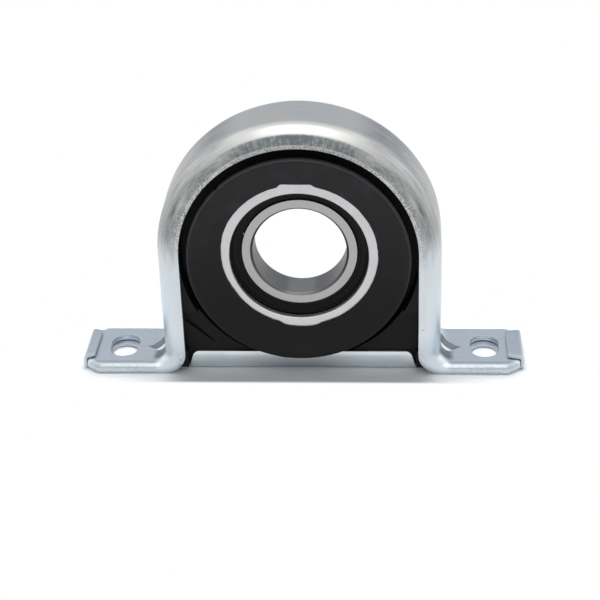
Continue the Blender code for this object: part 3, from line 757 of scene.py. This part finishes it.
def wave(co, size):
    """Adds the shallow waves of pressed sheet, which end at the floor."""
    shift = Vector(noise.noise_vector(co / size.wave_length)) * size.waviness
    return co + Vector((shift.x, 0.0, shift.z * min(co.z / size.wave_start, 1.0)))


class CENTREBEARING_OT_bracket(Operator):
    """Forms the hanger bracket: an arch with rolled edges, legs, pressed gussets and slotted feet"""

    bl_idname = "centre_bearing.bracket"
    bl_label = "Hanger bracket"

    def execute(self, context):
        size = context.scene.bearing_bracket
        piece = strip_quarter(size)
        reshape(piece, lambda co: shape_bracket(co, size))
        mirror(piece, (True, True, False))
        noise.seed_set(WAVE_SEED)
        reshape(piece, lambda co: wave(co, size))
        edit(piece)
        tidy_mesh()
        thicken(piece, size.sheet)
        for side in (-1.0, 1.0):
            cut(piece, bolt_slot(size, side))
        soften(piece, width=0.35 * MM)
        material = bracket_zinc(context.scene.bearing_finishes, size)
        finish_piece(piece, material, "hanger", "hanger_bracket")
        return {"FINISHED"}


def bolt_slot(size, side):
    centre = Vector((side * size.bolt_reach, 0.0, size.foot_top / 2.0))
    cutter = pin("bolt_slot", centre, size.slot_width / 2.0, 4.0 * size.foot_top)
    stretch = (size.slot_length - size.slot_width) / 2.0
    reshape(cutter, lambda co: co + Vector((0.0, math.copysign(stretch, co.y), 0.0)))
    return cutter


# Base plate


def plate_half(size):
    """Half of the plate's outer face, with its front and rear edges and its end folded over the foot."""
    inside = size.half_width - size.bend_radius
    piece = start_point("folded_base_plate", (0.0, -inside, 0.0))
    extrude(y=2.0 * inside, times=8)
    bpy.ops.mesh.select_all(action="SELECT")
    extrude(x=size.edge_reach, times=8)
    for side in (-1.0, 1.0):
        pick(piece, lambda co: near(co.y, side * inside) and near(co.z, 0.0))
        bend((0.0, side * inside, size.bend_radius), ABOUT_X, side * QUARTER, steps=5)
        extrude(z=size.edge_height - size.bend_radius, times=3)
        corner = Vector((size.edge_reach, side * size.half_width, size.edge_height))
        pick(piece, lambda co: (co - corner).length < 2.0 * HAIR)
        bpy.ops.mesh.bevel(offset=2.0 * MM, segments=5, affect="VERTICES")
    pick(piece, lambda co: near(co.x, size.edge_reach) and near(co.z, 0.0) and abs(co.y) < inside + HAIR)
    extrude(x=MM)
    bpy.ops.transform.resize(value=(1.0, size.half_width / inside, 1.0), center_override=(0.0, 0.0, 0.0))
    bend_start = size.half_length - size.bend_radius
    extrude(x=bend_start - size.edge_reach - MM, times=6)
    bend((bend_start, 0.0, size.bend_radius), ABOUT_Y, -QUARTER, steps=5)
    extrude(z=size.tab_top - 2.0 * size.bend_radius)
    bend((bend_start, 0.0, size.tab_top - size.bend_radius), ABOUT_Y, -QUARTER, steps=5)
    extrude(x=size.bend_radius - size.tab_reach, times=4)
    object_mode()
    reshape(piece, lambda co: taper_plate(co, size))
    return piece


def taper_plate(co, size):
    """Slopes the ends of the upturned edges, and cuts the corners of the end that is folded over."""
    if co.x < size.edge_reach + HAIR and co.z > size.bend_radius:
        slope = (co.z - size.bend_radius) / (size.edge_height - size.bend_radius)
        return Vector((co.x * (1.0 - size.edge_slope * slope / size.edge_reach), co.y, co.z))
    if co.x > size.edge_reach:
        risen = min(max(co.z - size.sheet, 0.0) / (size.tab_top - size.sheet), 1.0)
        inward = min(max(size.half_length - size.bend_radius - co.x, 0.0) / size.tab_reach, 1.0)
        narrower = size.end_taper * risen + size.corner_cut * inward * (risen > 0.9)
        return Vector((co.x, co.y * (1.0 - narrower / size.half_width), co.z))
    return co


def spring_tab(co, size):
    """Lifts each tab's loose edge a little, and lays the right-hand one further over its foot."""
    flap = size.tab_reach - size.bend_radius
    inward = (size.half_length - size.bend_radius - abs(co.x)) / flap
    if co.z < size.tab_top - HAIR or not 0.0 < inward < 1.01:
        return co
    further = size.wide_tab if co.x > 0.0 else 0.0
    return Vector((co.x - further * inward, co.y, co.z + size.tab_lift * inward * inward))


class CENTREBEARING_OT_plate(Operator):
    """Folds the base plate that ties the two feet together"""

    bl_idname = "centre_bearing.plate"
    bl_label = "Base plate"

    def execute(self, context):
        size = context.scene.bearing_plate
        piece = plate_half(size)
        mirror(piece, (True, False, False))
        reshape(piece, lambda co: spring_tab(co, size))
        edit(piece)
        tidy_mesh()
        face_down(piece)
        thicken(piece, size.sheet, even=False)
        for side in (-1.0, 1.0):
            centre = (side * context.scene.bearing_bracket.bolt_reach, 0.0, 0.0)
            cut(piece, pin("plate_hole", centre, size.hole / 2.0, 4.0 * size.sheet))
        soften(piece, width=0.22 * MM)
        material = plate_zinc(context.scene.bearing_finishes)
        finish_piece(piece, material, "hanger", "base_plate")
        return {"FINISHED"}


def face_down(piece):
    """Turns an open sheet's faces so that those on its underside point down."""
    object_mode()
    under = [face for face in piece.data.polygons if abs(face.center.z) < HAIR]
    if sum(face.normal.z for face in under) > 0.0:
        edit(piece)
        bpy.ops.mesh.select_all(action="SELECT")
        bpy.ops.mesh.flip_normals()
        object_mode()


# Rubber cushion


# Where the front disc's edges are marked, as angles from the top, positive towards +X.
OPEN_PATCH = (-0.22, 0.19)
NICK = (-0.80, -0.76)
FRAYED_SPOT = (-3.02, -2.94)


def sided(rows, side):
    """Puts an outline that is drawn for the rear on either side."""
    return [(radius, side * y, rounding) for radius, y, rounding in rows]


def disc_outline(size, bearing, side):
    """Outline of a dished disc with its rounded lip, from the cup outwards and back."""
    cup = bearing.cup_radius
    flash = cup - size.flash_reach
    face = bearing.cup_half
    rim = size.disc_radius
    front = size.disc_front
    rows = [
        (cup + 0.3 * MM, 5.0 * MM, 0.0),
        (cup + 0.3 * MM, face - 1.0 * MM, 0.0),
        (flash + 0.05 * MM, face + 0.12 * MM, 0.0),
        (flash, face + 0.45 * MM, 0.0),
        (cup - 1.0 * MM, face + 0.95 * MM, 0.35 * MM),
        (cup + 1.4 * MM, face + 1.5 * MM, 0.8 * MM),
        (rim - 5.5 * MM, front - 1.9 * MM, 2.0 * MM),
        (rim - 2.3 * MM, front, 1.0 * MM),
        (rim, front - 0.3 * MM, 1.1 * MM),
        (rim, front - 3.0 * MM, 0.8 * MM),
        (rim - 2.4 * MM, front - 4.0 * MM, 1.5 * MM),
        (cup + 6.0 * MM, face - 1.8 * MM, 2.0 * MM),
        (cup + 3.3 * MM, 5.0 * MM, 0.0),
    ]
    return sided(rows, side)


def ragged_disc(co, size, bearing, side):
    """Lets the flash over the cup stray in and out, and damages the front lip."""
    flat = Vector((co.x, 0.0, co.z - bearing.height))
    radius = flat.length
    angle = math.atan2(co.x, co.z - bearing.height)
    edge = bearing.cup_radius - size.flash_reach
    share = min(max(1.0 - (radius - edge) / (2.0 * MM), 0.0), 1.0)
    if share > 0.0 and side * co.y > bearing.cup_half:
        radius += share * flash_shift(angle, size, bearing, side)
    if side < 0.0 and radius > size.disc_radius - 1.2 * MM:
        radius -= lip_damage(angle)
    flat = flat.normalized() * radius
    return Vector((flat.x, co.y, flat.z + bearing.height))


def flash_shift(angle, size, bearing, side):
    """How far the flash's edge stands back from its plain circle at an angle from the top."""
    spot = Vector((math.sin(angle), math.cos(angle), side)) * 9.0
    waves = ((0.5, 0.5), (1.0, 0.5), (6.0, 0.6))
    shift = size.flash * (sum(share * noise.noise(spot * finer) for finer, share in waves) - 0.6)
    if side < 0.0:
        level = bearing.cup_radius - size.flash_reach + size.open_patch
        flat_top = level * (math.cos(0.18) / math.cos(angle) - 1.0) if abs(angle) < 0.5 else 0.0
        shift += smooth_window(angle, *OPEN_PATCH, soft=0.05) * (size.open_patch + flat_top)
        from_bottom = math.pi - abs(angle)
        lopsided = 1.1 - 0.6 * math.sin(angle)
        shift -= smooth_window(from_bottom, -1.0, 1.5, soft=0.9) * lopsided * size.open_patch
        shift += smooth_window(from_bottom, -1.0, 0.24, soft=0.10) * 1.1 * size.open_patch
    return shift


def lip_damage(angle):
    """A small nick at the upper left of the lip and a frayed spot at its bottom."""
    deep = 0.5 * MM
    spot = Vector((math.sin(angle), math.cos(angle), 0.0)) * 60.0
    nick = smooth_window(angle, *NICK, soft=0.02)
    frayed = smooth_window(angle, *FRAYED_SPOT, soft=0.03) * noise.noise(spot)
    return deep * (nick + frayed)


def smooth_window(value, low, high, soft):
    """1 between low and high and 0 outside them, with soft ends."""
    rise = min(max((value - low) / soft + 0.5, 0.0), 1.0)
    fall = min(max((high - value) / soft + 0.5, 0.0), 1.0)
    return rise * fall


def body_blank(size, bracket, floor):
    """The block that fills the arch: half of its outline is drawn, mirrored, filled and pulled through."""
    radius = bracket.arch_radius - bracket.sheet - CLEARANCE
    flare = size.foot_flare
    flare_top = 2.5 * flare
    below = 2.0 * size.body_half
    piece = start_point("cushion_body", (0.0, -size.body_half, floor - below))
    extrude(x=radius + flare)
    extrude(z=below)
    extrude(x=-flare, z=flare_top)
    extrude(z=bracket.arch_height - floor - flare_top)
    bend((0.0, 0.0, bracket.arch_height), ABOUT_Y, -QUARTER, steps=40)
    mirror(piece, (True, False, False))
    edit(piece)
    tidy_mesh()
    bpy.ops.mesh.select_all(action="SELECT")
    bpy.ops.mesh.edge_face_add()
    bpy.ops.mesh.select_all(action="SELECT")
    extrude(y=2.0 * size.body_half)
    tidy_mesh()
    object_mode()
    return piece


class CENTREBEARING_OT_cushion(Operator):
    """Moulds the rubber cushion: the body inside the arch and a dished disc at each end of the cup"""

    bl_idname = "centre_bearing.cushion"
    bl_label = "Rubber cushion"

    def execute(self, context):
        scene = context.scene
        size = scene.bearing_cushion
        bearing = scene.bearing_bearing
        material = cushion_rubber(scene.bearing_finishes, size, bearing)
        for name, side in (("front_disc", -1.0), ("rear_disc", 1.0)):
            disc = turned(name, disc_outline(size, bearing, side), bearing, finer=1.75)
            reshape(disc, lambda co: ragged_disc(co, size, bearing, side))
            finish_piece(disc, material, "hanger", "rubber_cushion", angle=60.0)
        body = moulded_body(size, bearing, scene.bearing_bracket, scene.bearing_plate)
        finish_piece(body, material, "hanger", "rubber_cushion")
        return {"FINISHED"}


def moulded_body(size, bearing, bracket, plate):
    """The body inside the arch, with a round pocket and stepped corners on each side."""
    floor = plate.sheet + CLEARANCE
    depth = 2.0 * size.body_half
    wide = 2.0 * bracket.arch_radius
    body = body_blank(size, bracket, floor)
    soften(body, width=bracket.roll_radius - bracket.sheet - 0.4 * MM, segments=6, angle=60.0)
    cut(body, block("floor_cut", (-wide, -depth, -depth - wide), (wide, depth, floor)))
    corner_face = plate.half_width - plate.sheet - CLEARANCE
    toe_top = plate.edge_height + MM
    for side in (-1.0, 1.0):
        middle = (0.0, side * (size.web_half + depth / 2.0), bearing.height)
        cut(body, pin("pocket", middle, size.pocket_radius, depth, SIDEWAYS, bearing.steps))
        ends = sorted((side * corner_face, side * depth))
        steps = ((wide, toe_top, size.step_height), (plate.edge_reach + CLEARANCE, -MM, toe_top))
        for reach, low, high in steps:
            cut(body, block("step", (-reach, ends[0], low), (reach, ends[1], high)))
    cut(body, corner_crease(size, corner_face))
    axis = (0.0, 0.0, bearing.height)
    cut(body, pin("cup_bore", axis, bearing.cup_radius + CLEARANCE, depth, SIDEWAYS, bearing.steps))
    soften(body, width=0.5 * MM, angle=50.0)
    return body


def corner_crease(size, corner_face):
    """A thin wedge that cuts the slanting crease into the front left corner."""
    middle = Vector((-43.8 * MM, -corner_face, 18.4 * MM))
    half = Vector((8.0 * MM, 1.4 * MM, size.crease / 2.0))
    turn = Matrix.Rotation(math.radians(44.0), 3, "Y")
    wedge = block("crease", -half, half)
    reshape(wedge, lambda co: middle + turn @ Vector((co.x, co.y, co.z * (2.4 if co.x < 0.0 else 0.5))))
    return wedge


# Bearing and cup


def cup_outline(bearing):
    """Outline of the cup, with its rounded end and turned-in lip on both sides."""
    end = bearing.cup_half
    behind = end - bearing.cup_lip_depth
    rows = [
        (bearing.cup_radius, end, 1.1 * MM),
        (bearing.cup_lip, end, 0.5 * MM),
        (bearing.cup_lip, behind, 0.3 * MM),
        (bearing.cup_radius - bearing.cup_wall, behind, 0.0),
    ]
    return sided(rows, -1.0) + sided(reversed(rows), 1.0)


def ring_outline(bearing):
    """Outline of the inner ring, with its bore chamfers and its raceway."""
    half = bearing.half_width
    groove = 4.12 * MM
    pitch = 27.0 * MM
    shoulder = bearing.shoulder
    rows = [
        (shoulder, -half, 0.35 * MM),
        (bearing.bore + 1.0 * MM, -half, 0.0),
        (bearing.bore, 1.0 * MM - half, 0.15 * MM),
        (bearing.bore, half - 1.0 * MM, 0.15 * MM),
        (bearing.bore + 1.0 * MM, half, 0.0),
        (shoulder, half, 0.35 * MM),
    ]
    reach = math.acos((pitch - shoulder) / groove)
    half_steps = 4
    for step in range(half_steps, -half_steps - 1, -1):
        angle = reach * step / half_steps
        rows.append((pitch - groove * math.cos(angle), groove * math.sin(angle), 0.0))
    return rows


def seal_outline(bearing, side):
    """Outline of a seal: a skirt over the outer ring's face, a groove, and a lip on the inner ring."""
    face = bearing.half_width - 0.5 * MM
    front = bearing.half_width + 0.45 * MM
    skirt = bearing.cup_lip + 1.5 * MM
    outer = bearing.cup_lip - 0.12 * MM
    inner = bearing.shoulder + 0.3 * MM
    rows = [
        (outer, face - 1.2 * MM, 0.0),
        (outer, front - 0.35 * MM, 0.0),
        (skirt, front - 0.35 * MM, 0.0),
        (skirt, front, 0.1 * MM),
        (outer - 0.4 * MM, front, 0.2 * MM),
        (outer - 0.9 * MM, face - 0.3 * MM, 0.2 * MM),
        (inner + 1.3 * MM, face - 0.3 * MM, 0.2 * MM),
        (inner + 0.9 * MM, face - 0.05 * MM, 0.15 * MM),
        (inner, face - 0.35 * MM, 0.15 * MM),
        (inner, face - 0.9 * MM, 0.0),
        (inner + 0.8 * MM, face - 1.2 * MM, 0.0),
    ]
    return sided(rows, side)


class CENTREBEARING_OT_bearing(Operator):
    """Turns the cup, the inner ring and the seals, and gives the rings, balls and cage their finish"""

    bl_idname = "centre_bearing.bearing"
    bl_label = "Cup and ball bearing"

    def execute(self, context):
        scene = context.scene
        bearing = scene.bearing_bearing
        finish = scene.bearing_finishes
        cup = turned("turned_cup", cup_outline(bearing), bearing)
        finish_piece(cup, cup_steel(finish), "hanger", "bearing_cup")
        steel = ground_steel("inner_ring_steel", finish.ring, finish.bore, bearing)
        ring = turned("ground_inner_ring", ring_outline(bearing), bearing)
        finish_piece(ring, steel, "inner_ring", "inner_ring")
        rubber = seal_rubber(finish, bearing)
        for node, side in (("front_seal", -1.0), ("rear_seal", 1.0)):
            seal = turned(node + "_ring", seal_outline(bearing, side), bearing)
            finish_piece(seal, rubber, "hanger", node)
        repaint("outer_ring", ground_steel("outer_ring_steel", finish.ring, finish.ring, bearing))
        cage = cage_steel(finish)
        ball = polished_steel(finish)
        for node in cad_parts:
            if node.startswith("cage_"):
                repaint(node, cage)
            if node.startswith("ball_"):
                repaint(node, ball)
        return {"FINISHED"}


# Stage


CAMERA_PLACE = Vector((42.4, -619.2, 377.4)) * MM
CAMERA_YAW = math.radians(4.006)
CAMERA_PITCH = math.radians(29.436)
CAMERA_ROLL = math.radians(-1.919)
FOCAL_PIXELS = 1638.2
MIDDLE = Vector((0.0, 0.0, 0.06))
WORLD_TINT = (0.96, 0.98, 1.0, 1.0)
WORLD_LIGHT = 0.42
FLOOR_SIZE = 6.0
FLOOR_ROUGHNESS = 0.9
SHADOW_REACH = 23.0 * MM
IMAGE_PIXELS = 600.0
SENSOR = 36.0
# Each lamp's name, place, size, power, and whether reflections show it.
LAMPS = (
    ("top_softbox", (0.0, 0.42, 0.90), (0.8, 0.34), 7.0, False),
    ("left_softbox", (-1.0, 0.40, 0.60), (1.5, 1.1), 1.8, True),
    ("right_softbox", (1.0, 0.40, 0.60), (1.5, 1.1), 2.2, True),
    ("rear_softbox", (0.0, 1.1, 0.70), (1.2, 0.4), 9.0, False),
)
# Each card's name, place, target, size and colour.
CARDS = (
    ("rear_card", (0.0, 1.3, 0.56), MIDDLE, (3.2, 1.2), (0.60, 0.63, 0.68)),
    ("top_card", (0.0, -0.30, 0.90), (0.0, -0.30, 0.0), (0.8, 1.0), (2.3, 2.3, 2.3)),
)


def make_camera(scene):
    data = bpy.data.cameras.new("camera")
    data.sensor_width = SENSOR
    data.lens = SENSOR * FOCAL_PIXELS / IMAGE_PIXELS
    camera = bpy.data.objects.new("camera", data)
    scene.collection.objects.link(camera)
    turn = Matrix.Rotation(CAMERA_YAW, 4, "Z")
    turn = turn @ Matrix.Rotation(QUARTER - CAMERA_PITCH, 4, "X")
    turn = turn @ Matrix.Rotation(CAMERA_ROLL, 4, "Z")
    camera.matrix_world = Matrix.Translation(CAMERA_PLACE) @ turn
    scene.camera = camera


def aimed(place, target):
    """The turn that points a lamp or card at its target."""
    return (Vector(target) - Vector(place)).to_track_quat("-Z", "Y")


def add_lamp(scene, name, place, size, power, in_reflections):
    data = bpy.data.lights.new(name, "AREA")
    data.shape = "RECTANGLE"
    data.size, data.size_y = size
    data.energy = power
    lamp = bpy.data.objects.new(name, data)
    scene.collection.objects.link(lamp)
    lamp.location = place
    lamp.rotation_mode = "QUATERNION"
    lamp.rotation_quaternion = aimed(place, MIDDLE)
    lamp.visible_glossy = in_reflections


def floor_material(finish):
    """Pale floor that fades to plain white round the object, and keeps the shadow close to it."""
    paint = Paint("floor", gloss=0.0)
    seen = paint.seen()
    paint.surface(paint.mix(seen, finish.floor, finish.floor_seen), FLOOR_ROUGHNESS)
    white = paint.add("ShaderNodeEmission", inputs={"Color": WHITE, "Strength": 1.0})
    x, y = paint.split(paint.place())[:2]
    beyond = (x.size() - CAD_BOX[1].x).at_least(0.0)
    fade = (beyond * beyond + y * y).root().rise(SHADOW_REACH, 1.1 * SHADOW_REACH)
    matt = Wire(paint, paint.shader.outputs[0])
    paint.end(paint.add("ShaderNodeMixShader", inputs=[seen * fade, matt, white]))
    return paint.material


def make_world(scene):
    """Soft light from all round, and plain white where the camera, metal or glass sees past the floor."""
    scene.world = bpy.data.worlds.new("studio")
    nodes = Nodes(scene.world, "World Output")
    soft = nodes.add("ShaderNodeBackground", inputs={"Color": WORLD_TINT, "Strength": WORLD_LIGHT})
    white = nodes.add("ShaderNodeBackground", inputs={"Color": WHITE, "Strength": 1.0})
    nodes.end(nodes.add("ShaderNodeMixShader", inputs=[nodes.seen(), soft, white]))


def glow_card(name, place, target, size, glow):
    """A card that only shiny surfaces see, as a photographer shapes a reflection."""
    nothing_selected()
    bpy.ops.mesh.primitive_plane_add(size=1.0, location=place, rotation=aimed(place, target).to_euler())
    bpy.context.object.scale = (*size, 1.0)
    card = settle(name)
    for rays in ("camera", "diffuse", "transmission", "shadow"):
        setattr(card, "visible_" + rays, False)
    material = bpy.data.materials.new(name)
    nodes = Nodes(material, "Material Output")
    nodes.end(nodes.add("ShaderNodeEmission", inputs={"Color": (*glow, 1.0), "Strength": 1.0}))
    card.data.materials.append(material)


class CENTREBEARING_OT_stage(Operator):
    """Sets up the pale floor, the soft lamps and the camera"""

    bl_idname = "centre_bearing.stage"
    bl_label = "Stage"

    def execute(self, context):
        scene = context.scene
        nothing_selected()
        bpy.ops.mesh.primitive_plane_add(size=FLOOR_SIZE)
        floor = settle("floor")
        floor.data.materials.append(floor_material(scene.bearing_finishes))
        make_world(scene)
        for lamp in LAMPS:
            add_lamp(scene, *lamp)
        for card in CARDS:
            glow_card(*card)
        make_camera(scene)
        scene.view_settings.view_transform = "Standard"
        return {"FINISHED"}


class CENTREBEARING_PT_panel(Panel):
    """Lists the pieces in the order in which they are made"""

    bl_idname = "CENTREBEARING_PT_panel"
    bl_label = "Centre bearing"
    bl_space_type = "VIEW_3D"
    bl_region_type = "UI"
    bl_category = "Centre bearing"

    def draw(self, context):
        for group in GROUPS:
            settings = getattr(context.scene, group)
            box = self.layout.box()
            for name in settings.__annotations__:
                box.prop(settings, name, text=name.replace("_", " ").capitalize())
        for operator in OPERATORS:
            self.layout.operator(operator.bl_idname)


OPERATORS = (
    CENTREBEARING_OT_bracket,
    CENTREBEARING_OT_plate,
    CENTREBEARING_OT_cushion,
    CENTREBEARING_OT_bearing,
    CENTREBEARING_OT_stage,
)

GROUPS = {
    "bearing_bracket": BracketSizes,
    "bearing_plate": PlateSizes,
    "bearing_cushion": CushionSizes,
    "bearing_bearing": BearingSizes,
    "bearing_finishes": Finishes,
}


CLASSES = (*GROUPS.values(), *OPERATORS, CENTREBEARING_PT_panel)


def register():
    for kind in CLASSES:
        bpy.utils.register_class(kind)
    for name, group in GROUPS.items():
        setattr(bpy.types.Scene, name, PointerProperty(type=group))


def unregister():
    for name in GROUPS:
        delattr(bpy.types.Scene, name)
    for kind in reversed(CLASSES):
        bpy.utils.unregister_class(kind)


def main():
    register()
    bpy.ops.centre_bearing.bracket()
    bpy.ops.centre_bearing.plate()
    bpy.ops.centre_bearing.cushion()
    bpy.ops.centre_bearing.bearing()
    bpy.ops.centre_bearing.stage()


if __name__ == "__main__":
    main()
